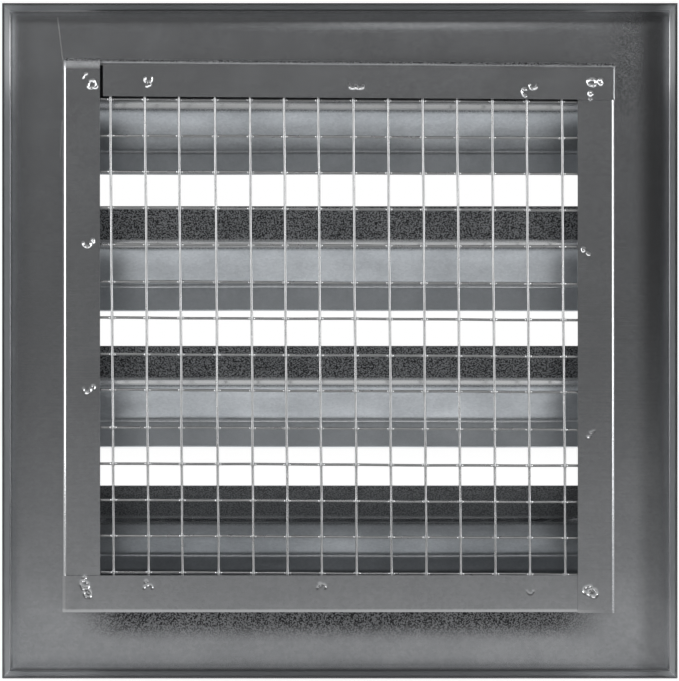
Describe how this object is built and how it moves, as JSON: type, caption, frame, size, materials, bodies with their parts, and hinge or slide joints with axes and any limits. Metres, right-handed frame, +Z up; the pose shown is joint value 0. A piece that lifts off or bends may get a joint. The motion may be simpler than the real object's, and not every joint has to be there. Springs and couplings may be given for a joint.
{
  "type": "gable vent",
  "caption": "Square louvred gable vent of folded galvanised sheet: flange with returned edges, short sleeve, fixed louvre blades and welded wire mesh behind inward back lips.",
  "frame": {"origin": "centre of the square flange, on the back of its face plate", "axes": "+Z up, +Y out to the weather along the airway, +X to the right as seen from the attic side"},
  "size_m": [0.254, 0.0513, 0.254],
  "materials": {
    "flange_sheet": "galvanised, fine grainy spangle, dull",
    "sleeve_sheet": "galvanised, smooth and slightly streaked",
    "blade_sheet": "galvanised, bright with fine spangle",
    "screen_wire": "zinc coated after welding"
  },
  "bodies": {
    "root": {"face_flange": "flange_sheet", "sleeve_top": "sleeve_sheet", "sleeve_right": "sleeve_sheet", "sleeve_bottom": "sleeve_sheet", "sleeve_left": "sleeve_sheet", "blade_1": "blade_sheet", "blade_2": "blade_sheet", "blade_3": "blade_sheet", "blade_4": "blade_sheet", "screen": "screen_wire"}
  },
  "joints": []
}
